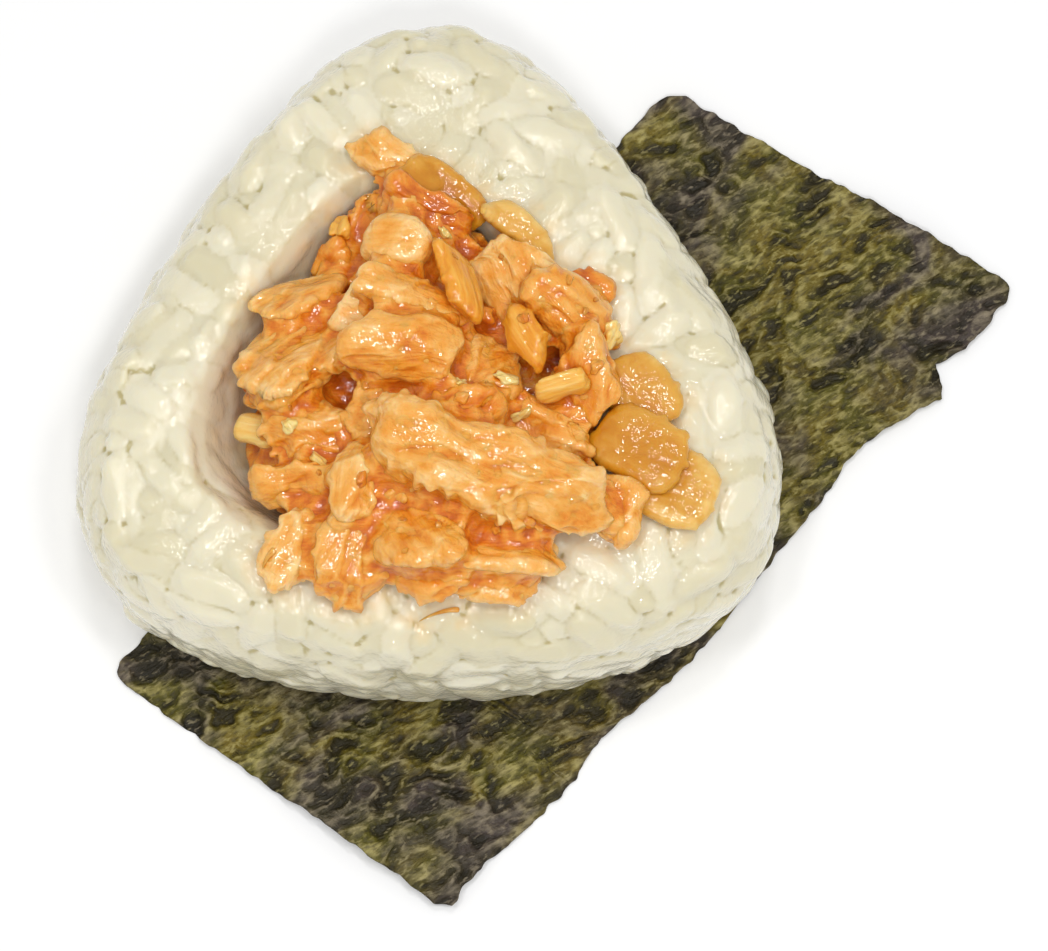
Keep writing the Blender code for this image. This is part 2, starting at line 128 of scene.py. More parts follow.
# How each flake looks: tone (0 dark sauce, 1 pale flesh), blockiness (2 is round), and in millimetres
# the height of its lumps, the height of its layers and how far its rim is torn.
FLAKES = {
    "flake_tail": (0.66, 2.6, 0.4, 0.3, 0.9),
    "flake_shoulder": (0.42, 2.4, 0.7, 0.4, 0.8),
    "flake_dark_top": (0.2, 2.6, 0.6, 0.25, 0.8),
    "flake_edge_right": (0.2, 2.4, 0.3, 0.2, 0.8),
    "chunk_pink_dome": (0.72, 2.4, 0.6, 0.3, 0.6),
    "flake_right_upper": (0.48, 2.6, 0.6, 0.45, 0.9),
    "flake_right_lower": (0.5, 2.6, 0.5, 0.45, 0.9),
    "flake_orange_mass": (0.56, 2.6, 0.8, 0.4, 0.8),
    "chunk_lumpy_upper": (0.6, 2.3, 1.2, 0.3, 0.9),
    "chunk_lumpy_lower": (0.5, 2.3, 1.2, 0.3, 0.9),
    "flake_tip_left": (0.7, 2.4, 0.6, 0.35, 0.9),
    "flake_bottom_left": (0.48, 2.6, 0.6, 0.4, 1.0),
    "flake_bottom_low": (0.56, 2.4, 0.4, 0.2, 0.8),
    "flake_bottom_edge": (0.45, 2.4, 0.5, 0.3, 0.9),
    "flake_bottom_right": (0.6, 2.4, 0.4, 0.3, 0.8),
    "flake_bottom_mid": (0.5, 2.6, 0.8, 0.45, 0.8),
    "flake_left_low": (0.44, 2.4, 0.6, 0.45, 1.3),
    "flake_left": (0.6, 2.4, 0.6, 0.5, 1.4),
    "flake_upper_left": (0.6, 2.4, 0.4, 0.3, 0.7),
    "flake_gold": (0.8, 2.6, 0.6, 0.3, 0.6),
    "nub_round": (0.66, 2.2, 0.35, 0.1, 0.25),
    "flake_mid_left": (0.56, 2.4, 0.6, 0.35, 0.7),
    "chunk_crumbed": (0.56, 2.4, 0.8, 0.35, 0.7),
    "flake_brown_mid": (0.32, 2.6, 0.6, 0.4, 0.8),
    "chunk_pink_block": (0.86, 4.5, 0.3, 0.2, 0.3),
    "flake_long": (0.6, 2.5, 0.35, 0.3, 0.6),
    "chunk_slab": (0.52, 2.8, 0.35, 0.2, 0.4),
    "flake_wing": (0.55, 2.6, 0.5, 0.45, 1.0),
    "flake_finger": (0.66, 2.8, 0.4, 0.3, 0.7),
    "nub_lower_right": (0.56, 2.3, 0.9, 0.3, 0.8),
    "chunk_long": (0.62, 2.5, 0.9, 0.35, 1.0),
    "flake_skin_left": (0.3, 2.4, 0.4, 0.2, 0.6),
    "flake_skin_top": (0.25, 2.4, 0.4, 0.2, 0.6),
}
ONIONS = {
    "onion_top": (0.3, 3.0, 0.3, 0.1, 0.4),
    "onion_crescent": (0.62, 2.4, 0.3, 0.1, 0.3),
    "onion_upper_right": (0.5, 2.8, 0.35, 0.1, 0.7),
    "onion_middle_right": (0.36, 2.8, 0.35, 0.1, 0.6),
    "onion_lower_right": (0.6, 2.8, 0.35, 0.1, 0.7),
}
GINGERS = {
    "ginger_left": (0.85, 3.0, 0.25, 0.1, 0.2),
    "ginger_upper": (0.35, 3.0, 0.4, 0.15, 0.8),
    "ginger_right": (0.4, 3.0, 0.4, 0.15, 0.8),
    "ginger_small": (0.62, 2.4, 0.5, 0.15, 0.6),
}

# Loose bits on the heap: their sizes are in millimetres.
HEAP_MIDDLE = Vector((1.0, -6.0, 0.0)) * MM
HEAP_REACH = 24 * MM
HEAP_NARROWING = 0.92
ABOVE_ALL = 0.1
CRUMB_SEED = 8
CRUMB_COUNT = 26
CRUMB_SIZE = (0.5, 1.3)
CRUMB_STRETCH = [(0.8, 1.7), (0.7, 1.1), (0.5, 0.8)]
CRUMB_LUMPS = 0.9
CRUMB_TONES = (-0.1, 0.2)  # crumbs differ by this from the tone of what carries them
PALEST_CARRIER = 0.51  # smooth pale chunks carry no crumbs
# Pale nubs of ginger and garlic that stand out of the sauce: x, y, length, width, yaw, tone.
NUBS = [(-9.8, 12.6, 3.4, 2.6, 20, 0.55), (3.6, -7.2, 2.0, 1.7, 80, 1.0), (8.6, -6.1, 2.6, 1.5, 10, 1.0),
        (19.8, -0.7, 3.0, 2.6, 0, 0.85), (-14.6, -10.9, 1.7, 1.5, 0, 0.95), (9.9, -9.8, 3.2, 1.2, 28, 0.9),
        (-11.4, -14.6, 2.4, 1.3, -25, 0.9), (1.8, 11.0, 1.8, 1.0, 40, 0.9)]
NUB_HEIGHT = 0.8  # share of its width
NUB_LUMPS = 0.8
LUMP_RATE = 3  # lumps of crumbs and nubs are this much finer than the bit
# Wisps on the rice at the foot of the heap: x, y of the middle, length, width, yaw, curl.
WISPS = [(1.4, -30.6, 4.6, 0.8, 194, 0.25), (-16.6, -25.6, 2.4, 0.9, 235, 0.3)]
WISP_SEED = 9
WISP_STEPS = 9
WISP_SIDES = 6
WISP_TONE = 0.7
WISP_LIFT = 0.2 * MM
WISP_FLATNESS = 0.6
WISP_TAPER = 0.85
WISP_RAGGED = (0.8, 1.2)
STAIN_REACH = 3.0 * MM  # the sauce tints the rice up to this far from the filling

# Nori.
NORI_SUBDIVISIONS = 3
UPPER_SLOPE = 0.3  # faces that look up more than this are split once more
WRINKLE_YAW = math.radians(30)
WRINKLE_LENGTH = 4.6 * MM
WRINKLE_WIDTH = 1.9 * MM
WRINKLE_HEIGHT = 0.65 * MM
WRINKLE_MEAN = 0.35
WRINKLE_SWING = 2
WRINKLE_LAYER = 3  # height at which the noise is cut
WOBBLE_SIZE = 5 * MM
WOBBLE = 2.2  # how far the wrinkles wander, in millimetres
CRINKLE_SIZE = 1.0 * MM
CRINKLE_HEIGHT = 0.16 * MM
CRINKLE_TONE = 0.3  # how much the crinkles tell in the painted highlight and shade of the colour
BUCKLE_SIZE = 9.0 * MM
BUCKLE_HEIGHT = 0.55 * MM
BUCKLE_SHIFT = Vector((4, 2, 1))
COVERED_REACH = 30 * MM  # under the rice, within this height, the strip is pressed flatter
COVERED_START = 0.05  # in millimetres
COVERED_RELIEF = 0.15
THINNEST = 0.1  # the wrinkles leave this share of a place's height over the floor
FRAY = 0.35 * MM
FRAY_SIZE = 1.3 * MM
CORNER_REACH = 2.4 * MM  # the strip's corners are worn round within this,
CORNER_WEAR = 0.8 * MM  # by this much at their tips

# Camera, light and floor.
VIEW_TILT = math.radians(15.0)
VIEW_DISTANCE = 0.36
VIEW_TARGET = Vector((0.01047, -0.01206, 0.013))
FRAME_WIDTH = 0.117  # width that the picture takes in at the target
SENSOR_WIDTH = 36.0
WET_IOR = 1.5
WORLD_LIGHT = 0.5
# Lamps overhead: place and energy. They are small enough to draw sparkles on the wet food.
LAMPS = [((0.03, 0.12, 0.55), 0.34), ((0.16, -0.05, 0.53), 0.36), ((-0.12, -0.05, 0.53), 0.36),
         ((0.03, -0.25, 0.5), 0.6), ((0.05, -0.06, 0.57), 0.3)]
LAMP_SIZE = 0.065
LAMP_TARGET = Vector((0, 0, 0.02))
FLOOR_SIZE = 3
FLOOR_DROP = 0.05 * MM


# ---------------- mesh helpers

def new_piece(name, mesh, material):
    piece = bpy.data.objects.new(name, mesh)
    bpy.context.scene.collection.objects.link(piece)
    mesh.materials.clear()
    mesh.materials.append(material)
    return piece


def mesh_from(name, places, faces):
    mesh = bpy.data.meshes.new(name)
    mesh.from_pydata([tuple(place) for place in places], [], faces)
    mesh.update()
    return mesh


def welded_copy(node):
    """The CAD node's mesh with its doubled vertices joined, so that it is one closed surface."""
    shape = bmesh.new()
    shape.from_mesh(node.data)
    bmesh.ops.remove_doubles(shape, verts=shape.verts, dist=0.001 * MM)
    mesh = bpy.data.meshes.new(node.name + "_welded")
    shape.to_mesh(mesh)
    shape.free()
    return mesh


def apply_modifiers(piece):
    """Replace the piece's mesh by its modified one."""
    graph = bpy.context.evaluated_depsgraph_get()
    graph.update()
    mesh = bpy.data.meshes.new_from_object(piece.evaluated_get(graph))
    old = piece.data
    piece.modifiers.clear()
    piece.data = mesh
    bpy.data.meshes.remove(old)


def add_modifier(piece, kind, **settings):
    modifier = piece.modifiers.new(kind.lower(), kind)
    for key, value in settings.items():
        setattr(modifier, key, value)


def places_of(mesh):
    flat = np.empty(len(mesh.vertices) * 3)
    mesh.vertices.foreach_get("co", flat)
    return flat.reshape(-1, 3)


def set_places(mesh, places):
    mesh.vertices.foreach_set("co", np.asarray(places, dtype=np.float32).ravel())
    mesh.update()


def normals_of(mesh):
    flat = np.empty(len(mesh.vertices) * 3)
    mesh.vertex_normals.foreach_get("vector", flat)
    return flat.reshape(-1, 3)


def joined(meshes):
    """All the places of the meshes as one array, and all their faces as one list."""
    places, faces, start = [], [], 0
    for mesh in meshes:
        places.append(places_of(mesh))
        faces.extend(tuple(index + start for index in polygon.vertices) for polygon in mesh.polygons)
        start += len(mesh.vertices)
    return np.vstack(places), faces


def tree_of(meshes):
    """One search tree over the faces of all the meshes."""
    places, faces = joined(meshes)
    return BVHTree.FromPolygons(places.tolist(), faces)


def fuse(piece, voxel, rounds):
    """Make one closed surface of all that a piece holds."""
    add_modifier(piece, "REMESH", mode="VOXEL", voxel_size=voxel)
    add_modifier(piece, "SMOOTH", factor=0.5, iterations=rounds)
    apply_modifiers(piece)


def swell(mesh, reach):
    """Move the surface of a mesh outwards."""
    set_places(mesh, places_of(mesh) + normals_of(mesh) * reach)


def ring_faces(rings, sides):
    """Quads between rings of places that lie one after the other."""
    faces = []
    for ring in range(rings):
        for side in range(sides):
            a = ring * sides + side
            b = ring * sides + (side + 1) % sides
            faces.append((a, b, b + sides, a + sides))
    return faces


def neighbour_means(mesh):
    """Returns a function that averages an array of places over each vertex's neighbours."""
    pairs = np.empty(len(mesh.edges) * 2, dtype=np.int64)
    mesh.edges.foreach_get("vertices", pairs)
    first, second = pairs.reshape(-1, 2).T
    count = len(mesh.vertices)
    ends, others = np.concatenate([first, second]), np.concatenate([second, first])
    shares = np.maximum(np.bincount(ends, minlength=count), 1)

    def mean(values):
        sums = [np.bincount(ends, weights=column[others], minlength=count) for column in values.T]
        return np.stack(sums, axis=1) / shares[:, None]

    return mean


def smoothed(places, mean, rounds):
    for _ in range(rounds):
        places = 0.5 * places + 0.5 * mean(places)
    return places


def ridge_heights(mesh):
    """How far each vertex stands over (or, below 0, under) its smoothed surroundings, from -1 to 1."""
    places = places_of(mesh)
    surroundings = smoothed(places, neighbour_means(mesh), RIDGE_ROUNDS)
    over = ((places - surroundings) * normals_of(mesh)).sum(axis=1)
    return np.clip(over / RIDGE_HEIGHT, -1, 1)


def keep(mesh, name, values):
    """Keep a number or a vector for each vertex, for the material to read."""
    values = np.asarray(values, dtype=np.float32)
    kind, field = ("FLOAT", "value") if values.ndim == 1 else ("FLOAT_VECTOR", "vector")
    mesh.attributes.new(name, kind, "POINT").data.foreach_set(field, values.ravel())


def keep_flesh(mesh, ridge, tone, fibre):
    """Keep what the materials of the filling read: crests, tones, and places that run with the fibres."""
    keep(mesh, "ridge", ridge)
    keep(mesh, "tone", tone)
    keep(mesh, "fibre", fibre)


def place_piece(piece, slot, *nodes):
    """Shade the piece smooth, hang it from the root, and hide the CAD nodes that it stands for. The slot is
    not used.
    """
    piece.data.shade_smooth()
    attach(piece, "root")
    if nodes:
        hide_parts(*nodes)


# ---------------- rice

def triangle_picker(mesh, chance):
    """Returns a function that gives a random point of the mesh and its normal, evenly over the area."""
    mesh.calc_loop_triangles()
    corners = [[mesh.vertices[index].co for index in triangle.vertices] for triangle in mesh.loop_triangles]
    normals = [triangle.normal.copy() for triangle in mesh.loop_triangles]
    running = np.cumsum([triangle.area for triangle in mesh.loop_triangles])

    def pick():
        index = min(int(np.searchsorted(running, chance.random() * running[-1])), len(corners) - 1)
        a, b, c = corners[index]
        u, v = chance.random(), chance.random()
        if u + v > 1:
            u, v = 1 - u, 1 - v
        return a + (b - a) * u + (c - a) * v, normals[index]

    return pick


def is_in_hollow(place):
    """Whether a place on the rice is inside the rim, where the rice is pressed smooth."""
    away = Vector((place.x - HOLLOW_X, place.y - HOLLOW_Y)).length
    return place.z > HOLLOW_LOWEST and away < HOLLOW_RADIUS


def clearest_direction(middle, normal, length, pitch, axes, chance):
    """Of a few directions for a grain, the one furthest from other grains: (distance, direction, axis)."""
    steps = np.linspace(-AXIS_SPAN, AXIS_SPAN, AXIS_POINTS)[:, None] * length
    near = axes[np.abs(axes - np.array(middle)).max(axis=1) < AXES_NEAR]
    best = (-1.0, None, None)
    for _ in range(GRAIN_TURNS):
        side = normal.cross(Vector([chance.gauss(0, 1) for _ in range(3)])).normalized()
        direction = (side * math.cos(pitch) + normal * math.sin(pitch)).normalized()
        axis = np.array(middle) + steps * np.array(direction)
        gap = 1.0
        if len(near):
            gap = np.sqrt(((near[:, None, :] - axis[None, :, :]) ** 2).sum(axis=2)).min()
        if gap > best[0]:
            best = (gap, direction, axis)
    return best


def scatter_grains(surface, chance):
    """Lay grains over the moulded surface, widest apart first: (middle, direction, normal, sizes)."""
    pick = triangle_picker(surface, chance)
    laid = []
    axes = np.empty((0, 3))
    for depth, spacing, tries in GRAIN_LAYERS:
        for _ in range(tries):
            place, normal = pick()
            if place.z < BASE_HEIGHT and normal.z < BASE_SLOPE:
                continue
            end_on = chance.random() < END_ON_SHARE and not is_in_hollow(place)
            pitch = math.radians(chance.uniform(*END_ON_PITCH)) if end_on else chance.gauss(0, GRAIN_TILT)
            length = chance.uniform(*GRAIN_LENGTH) * MM
            width = chance.uniform(*GRAIN_WIDTH) * MM
            thickness = chance.uniform(*GRAIN_THICKNESS) * MM
            middle = place - normal * (depth * MM + (length * END_ON_SINK if end_on else 0))
            gap, direction, axis = clearest_direction(middle, normal, length, pitch, axes, chance)
            if gap > spacing * MM:
                axes = np.vstack([axes, axis])
                laid.append((middle, direction, normal, (length, width, thickness)))
    return laid


def grain_shape():
    """Unit grain: rings along X, which close at both blunt ends."""
    places = []
    for ring in range(GRAIN_RINGS + 1):
        along = -math.cos(math.pi * ring / GRAIN_RINGS)
        reach = math.sqrt(max(0.0, 1 - abs(along) ** GRAIN_BLUNTNESS))
        for side in range(GRAIN_SIDES):
            turn = 2 * math.pi * side / GRAIN_SIDES
            places.append((along, reach * math.cos(turn), reach * math.sin(turn)))
    return np.array(places), ring_faces(GRAIN_RINGS, GRAIN_SIDES)


def build_grains(laid, tree, chance):
    """All the grains, pressed to the mould, as one array of places and one list of faces."""
    unit, unit_faces = grain_shape()
    places, faces = [], []
    for number, (middle, direction, normal, (length, width, thickness)) in enumerate(laid):
        side = normal.cross(direction).normalized()
        rise = direction.cross(side).normalized()
        bend = chance.uniform(-GRAIN_BEND, GRAIN_BEND) * MM
        local = unit * (length / 2, width / 2, thickness / 2)
        local[:, 1] += bend * (1 - unit[:, 0] ** 2)
        world = (np.outer(local[:, 0], direction) + np.outer(local[:, 1], side)
                 + np.outer(local[:, 2], rise) + np.array(middle))
        spread = PRESS_SPREAD * (HOLLOW_SPREAD if is_in_hollow(middle) else 1)
        places.append(press_to_mould(world, tree, PRESS_START - spread * chance.random()))
        start = number * len(unit)
        faces.extend(tuple(index + start for index in face) for face in unit_faces)
    return np.vstack(places), faces


def press_to_mould(places, tree, level):
    """Flatten what stands out of the moulded surface; the hollow is pressed smoother than the outside."""
    for index, place in enumerate(places):
        spot = Vector(place)
        nearest, normal, _, _ = tree.find_nearest(spot)
        height = (spot - nearest).dot(normal)
        if height > level:
            press = PRESS_HOLLOW if is_in_hollow(nearest) else PRESS_OUTSIDE
            places[index] = spot - normal * (height - level) * press
    return places


def grain_finder(laid):
    """Returns a function that gives the grains around a place as (number, distance), nearest first."""
    finder = kdtree.KDTree(len(laid) * OWNER_POINTS)
    for number, (middle, direction, _, sizes) in enumerate(laid):
        for point, step in enumerate(np.linspace(-OWNER_SPAN, OWNER_SPAN, OWNER_POINTS)):
            finder.insert(middle + direction * sizes[0] * step, number * OWNER_POINTS + point)
    finder.balance()

    def around(place):
        distances = {}
        for _, found, distance in finder.find_n(place, OWNERS_FOUND):
            distances.setdefault(found // OWNER_POINTS, distance)
        return sorted(distances.items(), key=lambda item: item[1])

    return around


def closeness(distance, width):
    return math.exp(-(distance / width) ** 2)


def mark_grains(mesh, laid, chance):
    """Sink the creases and pits between grains; keep them for the material's painted shade, and keep each
    grain's own tone.
    """
    around = grain_finder(laid)
    tones = [chance.random() for _ in laid]
    places = places_of(mesh)
    crease = np.zeros(len(places))
    pit = np.zeros(len(places))
    tone = np.zeros(len(places))
    for index, place in enumerate(places):
        spot = Vector(place)
        grains = around(place)
        tone[index] = tones[grains[0][0]]
        pressed = is_in_hollow(spot)
        patch = CREASE_MEAN + CREASE_SWING * noise.noise(spot / CREASE_PATCH)
        patch = max(CREASE_LEAST, min(HOLLOW_CREASE if pressed else 1.0, patch))
        crease[index] = closeness(grains[1][1] - grains[0][1], CREASE_WIDTH) * patch
        if len(grains) > 2 and not pressed:
            patch = min(1.0, max(0.0, PIT_MEAN + PIT_SWING * noise.noise(spot / PIT_PATCH + UP)))
            pit[index] = patch * closeness(grains[2][1] - grains[0][1], PIT_WIDTH)
    drop = crease * CREASE_DEPTH + pit * PIT_DEPTH
    places = places - normals_of(mesh) * drop[:, None]
    places[:, 2] = np.maximum(places[:, 2], 0)
    set_places(mesh, places)
    keep(mesh, "crease", crease)
    keep(mesh, "pit", pit)
    keep(mesh, "tone", tone)


def make_rice(frame, materials):
    """Real grains over a smaller core, pressed together and fused into one moist surface."""
    chance = random.Random(RICE_SEED)
    surface = welded_copy(frame["nodes"]["rice"])
    tree = tree_of([surface])
    laid = scatter_grains(surface, chance)
    places, faces = build_grains(laid, tree, chance)
    faces.extend(tuple(index + len(places) for index in polygon.vertices) for polygon in surface.polygons)
    bare = places_of(surface)
    inset = np.array([HOLLOW_INSET if is_in_hollow(Vector(place)) else CORE_INSET for place in bare])
    places = np.vstack([places, bare - normals_of(surface) * inset[:, None]])
    piece = new_piece("rice_ball", mesh_from("rice_ball", places, faces), materials["rice"])
    fuse(piece, RICE_VOXEL, rounds=3)
    add_modifier(piece, "DECIMATE", ratio=RICE_TRIANGLES / (2 * len(piece.data.polygons)))
    apply_modifiers(piece)
    mark_grains(piece.data, laid, chance)
    place_piece(piece, "rice", "rice")
    return piece


# ---------------- filling

def own_axes(places):
    """Middle of a piece and its own axes: the first row runs along it, the last through its thickness."""
    middle = places.mean(axis=0)
    _, _, axes = np.linalg.svd(places - middle, full_matrices=False)
    return middle, axes


def squared(share, blockiness):
    """Fill out the corners of a round piece; a blockiness of 2 leaves it round."""
    size = np.abs(share) + 1e-6
    round_reach = np.sqrt((size ** 2).sum(axis=1))
    block_reach = (size ** blockiness).sum(axis=1) ** (1 / blockiness)
    return share * (round_reach / block_reach)[:, None]


def chiselled(share, chance):
    """Cut torn faces into a piece: what stands beyond a face is drawn back onto it."""
    for _ in range(CHISEL_CUTS):
        way = np.array([chance.gauss(0, 1) for _ in range(3)])
        way /= np.linalg.norm(way)
        beyond = np.maximum(0, share @ way - chance.uniform(*CHISEL_REACH))
        share = share - np.outer(beyond, way) * CHISEL_SHARPNESS
    return share


def layer_height(across):
    """Shingled layers: each rises slowly from 0 to 1 and falls steeply to the next."""
    share = across - math.floor(across)
    if share < 1 - LAYER_DROP:
        return share / (1 - LAYER_DROP)
    return (1 - share) / LAYER_DROP


def flake_relief(local, seed, look):
    """How far a place of a flake stands out, and how far it is torn, in metres."""
    _, _, lumps, layers, tear, strands = look
    along, across, up = local
    warp = noise.noise_vector(Vector(local) / WARP_SIZE + seed)
    slant = across + LAYER_SLANT * along + LAYER_WARP * warp.x
    layer = layer_height(slant / LAYER_WIDTH + seed.x)
    fine = Vector((along / STRAND_LENGTH, across / STRAND_WIDTH, up / STRAND_WIDTH))
    strand = noise.noise(fine + warp + seed)
    lump = noise.noise(Vector(local) / LUMP_SIZE + seed)
    out = FLAKE_SWELL + MM * (lumps * lump + LAYER_HEIGHT * layers * (layer - 0.5) + strands * strand)
    jag = noise.noise(Vector((along, across, 0)) / JAG_SIZE + seed)
    return out, max(0.0, jag) * tear * RIM_FRINGE * MM


def dress_flake(frame, name, look, number, material, slot):
    """Turn a plain flake into torn, lumpy, layered flesh. Its number makes it unlike the others."""
    piece = new_piece(name + "_dressed", welded_copy(frame["nodes"][name]), material)
    add_modifier(piece, "SUBSURF", levels=1, render_levels=1)
    fuse(piece, FLAKE_VOXEL, rounds=4)
    mesh = piece.data
    places = places_of(mesh)
    middle, axes = own_axes(places)
    local = (places - middle) @ axes.T
    half = np.abs(local).max(axis=0)
    chance = random.Random(number)
    seed = Vector([chance.uniform(0, RELIEF_RANGE) for _ in range(3)])
    share = squared(local / half, look[1])
    if slot != "onion" and look[4] > SMOOTH_RIM:
        share = chiselled(share, chance)
    places = smoothed(share * half @ axes + middle, neighbour_means(mesh), 2)
    set_places(mesh, places)
    normals = normals_of(mesh)
    relief = np.array([flake_relief(spot, seed, look) for spot in local])
    sideways = normals - np.outer(normals @ axes[2], axes[2])
    rim = (sideways ** 2).sum(axis=1)
    set_places(mesh, places + normals * relief[:, 0:1] + sideways * (rim * relief[:, 1])[:, None])
    tones = np.full(len(places), look[0])
    keep_flesh(mesh, ridge_heights(mesh), tones, local / MM + np.array(seed))
    place_piece(piece, slot, name)
    return piece


def dress_bed(frame, flakes, material):
    """The sauced shreds: the whole heap, swollen until its gaps close, then shrunk to under the flakes."""
    places, faces = joined([welded_copy(frame["nodes"]["filling_bed"])] + [flake.data for flake in flakes])
    piece = new_piece("bed_dressed", mesh_from("bed_dressed", places, faces), material)
    fuse(piece, BED_VOXEL, rounds=2)
    swell(piece.data, BED_SWELL)
    fuse(piece, BED_VOXEL, rounds=1)
    swell(piece.data, -BED_SWELL - BED_SINK)
    fuse(piece, BED_VOXEL, rounds=2)
    mesh = piece.data
    places = places_of(mesh)
    out = np.array([BED_ROUGHNESS * noise.noise(Vector(place) / BED_GRAIN) for place in places])
    swell(mesh, out[:, None])
    keep_flesh(mesh, ridge_heights(mesh), np.full(len(places), BED_TONE), places / MM)
    place_piece(piece, "sauced_bed", "filling_bed")
    return piece


def cover_of(tree, place, normal):
    """How much stands over a place, from 0 to 1; near things count most."""
    start = place + normal * DEPTH_START * MM
    side = normal.orthogonal().normalized()
    other = normal.cross(side)
    cover = 0.0
    for turn in range(DEPTH_RAYS):
        angle = 2 * math.pi * turn / DEPTH_RAYS
        way = normal * DEPTH_LEAN + side * math.cos(angle) + other * math.sin(angle)
        distance = tree.ray_cast(start, way.normalized(), DEPTH_REACH)[3]
        if distance is not None:
            cover += 1 - distance / DEPTH_REACH
    return cover / DEPTH_RAYS


def keep_depth(pieces, others):
    """Keep for each place of the pieces how deep it lies among them and the others, for the painted shade
    under cover.
    """
    tree = tree_of([piece.data for piece in pieces + others])
    for piece in pieces:
        spots = zip(places_of(piece.data), normals_of(piece.data))
        covers = [cover_of(tree, Vector(place), Vector(normal)) for place, normal in spots]
        keep(piece.data, "depth", covers)


def wisp_mesh(path, width, chance):
    """A tapered wisp along a path: rings joined by quads, closed at both ends."""
    places = []
    for index, place in enumerate(path):
        ahead = path[min(index + 1, len(path) - 1)] - path[max(index - 1, 0)]
        side = ahead.cross(UP).normalized()
        rise = side.cross(ahead).normalized()
        reach = width * (1 - WISP_TAPER * index / (len(path) - 1)) / 2
        for step in range(WISP_SIDES):
            turn = 2 * math.pi * step / WISP_SIDES
            ragged = chance.uniform(*WISP_RAGGED)
            places.append(place + side * reach * ragged * math.cos(turn)
                          + rise * reach * WISP_FLATNESS * math.sin(turn))
    faces = [(a, d, c, b) for a, b, c, d in ring_faces(len(path) - 1, WISP_SIDES)]
    faces.append(tuple(range(WISP_SIDES)))
    faces.append(tuple(reversed(range(len(places) - WISP_SIDES, len(places)))))
    return places, faces


class Heap:
    """Dressed pieces, felt from above. Onions count as pale, so that no crumbs are laid on them."""

    def __init__(self, pieces):
        self.tree = tree_of([piece.data for piece in pieces])
        self.tones = []
        for piece in pieces:
            bare = piece.name.startswith("onion")
            tone = 1.0 if bare else piece.data.attributes["tone"].data[0].value
            self.tones.extend([tone] * len(piece.data.polygons))

    def feel(self, x, y):
        """The place, normal and tone of the surface under a point, or None beside the heap."""
        hit, normal, index, _ = self.tree.ray_cast(Vector((x, y, ABOVE_ALL)), -UP)
        return None if hit is None else (hit, normal, self.tones[index])


def spot_on_heap(chance):
    """A random place in the plan of the heap."""
    angle = chance.uniform(0, 2 * math.pi)
    reach = HEAP_REACH * math.sqrt(chance.random())
    return HEAP_MIDDLE.x + reach * math.cos(angle) * HEAP_NARROWING, HEAP_MIDDLE.y + reach * math.sin(angle)


def wisp_path(ground, x, y, length, yaw, curl):
    """Points along a wisp that lies on the ground."""
    path = []
    for step in range(WISP_STEPS):
        share = step / (WISP_STEPS - 1) - 0.5
        heading = yaw + curl * share
        felt = ground.feel(x + math.cos(heading) * length * share, y + math.sin(heading) * length * share)
        path.append(felt[0] + UP * WISP_LIFT)
    return path


class Bits:
    """Many small bits that are joined into one piece, each with its own tone."""

    def __init__(self):
        self.places, self.faces, self.tones, self.fibres = [], [], [], []

    def add(self, places, faces, tone, fibres):
        start = len(self.places)
        self.places.extend(places)
        self.faces.extend(tuple(index + start for index in face) for face in faces)
        self.tones.extend([tone] * len(places))
        self.fibres.extend(fibres)

    def finish(self, name, slot, material):
        piece = new_piece(name, mesh_from(name, self.places, self.faces), material)
        keep_flesh(piece.data, np.zeros(len(self.places)), self.tones, self.fibres)
        add_modifier(piece, "SUBSURF", levels=1, render_levels=1)
        apply_modifiers(piece)
        place_piece(piece, slot)
        return piece


def unit_ball(subdivisions):
    """Places and faces of a ball of diameter 1."""
    shape = bmesh.new()
    bmesh.ops.create_icosphere(shape, subdivisions=subdivisions, radius=0.5)
    places = [vertex.co.copy() for vertex in shape.verts]
    faces = [tuple(vertex.index for vertex in face.verts) for face in shape.faces]
    shape.free()
    return places, faces


def lumpiness(spot, seed, height):
    """The factor by which a spot of a small bit stands out."""
    return 1 + height * noise.noise(spot * LUMP_RATE + seed)


def turned_to(normal, yaw):
    """The turn that stands a bit on a surface, itself turned by a yaw."""
    return normal.to_track_quat("Z", "Y").to_matrix() @ Matrix.Rotation(yaw, 3, "Z")


def make_crumbs(heap, chance, material):
    """Small lumps of flesh that stick to the flakes."""
    unit, unit_faces = unit_ball(2)
    bits = Bits()
    laid = 0
    while laid < CRUMB_COUNT:
        felt = heap.feel(*spot_on_heap(chance))
        if felt is None or felt[2] > PALEST_CARRIER:
            continue
        hit, normal, tone = felt
        size = chance.uniform(*CRUMB_SIZE) * MM
        stretch = Vector([chance.uniform(*reach) for reach in CRUMB_STRETCH])
        turn = turned_to(normal, chance.uniform(0, 6))
        seed = Vector((laid, 0, 0))
        lumps = [spot * stretch * size * lumpiness(spot, seed, CRUMB_LUMPS) for spot in unit]
        tone += chance.uniform(*CRUMB_TONES)
        bits.add([hit + turn @ lump for lump in lumps], unit_faces, tone, [spot * 3 + seed for spot in unit])
        laid += 1
    return bits.finish("loose_crumbs", "flaked_meat", material)


def make_nubs(heap, material):
    """The pale nubs, each where the photo shows it."""
    unit, unit_faces = unit_ball(3)
    bits = Bits()
    for number, (x, y, length, width, yaw, tone) in enumerate(NUBS):
        hit, normal, _ = heap.feel(x * MM, y * MM)
        turn = turned_to(normal, math.radians(yaw))
        size = Vector((length, width, width * NUB_HEIGHT)) * MM
        seed = Vector((0, number, 0))
        lumps = [spot * size * lumpiness(spot, seed, NUB_LUMPS) for spot in unit]
        bits.add([hit + turn @ lump for lump in lumps], unit_faces, tone, [spot * 4 + seed for spot in unit])
    return bits.finish("pale_nubs", "ginger", material)


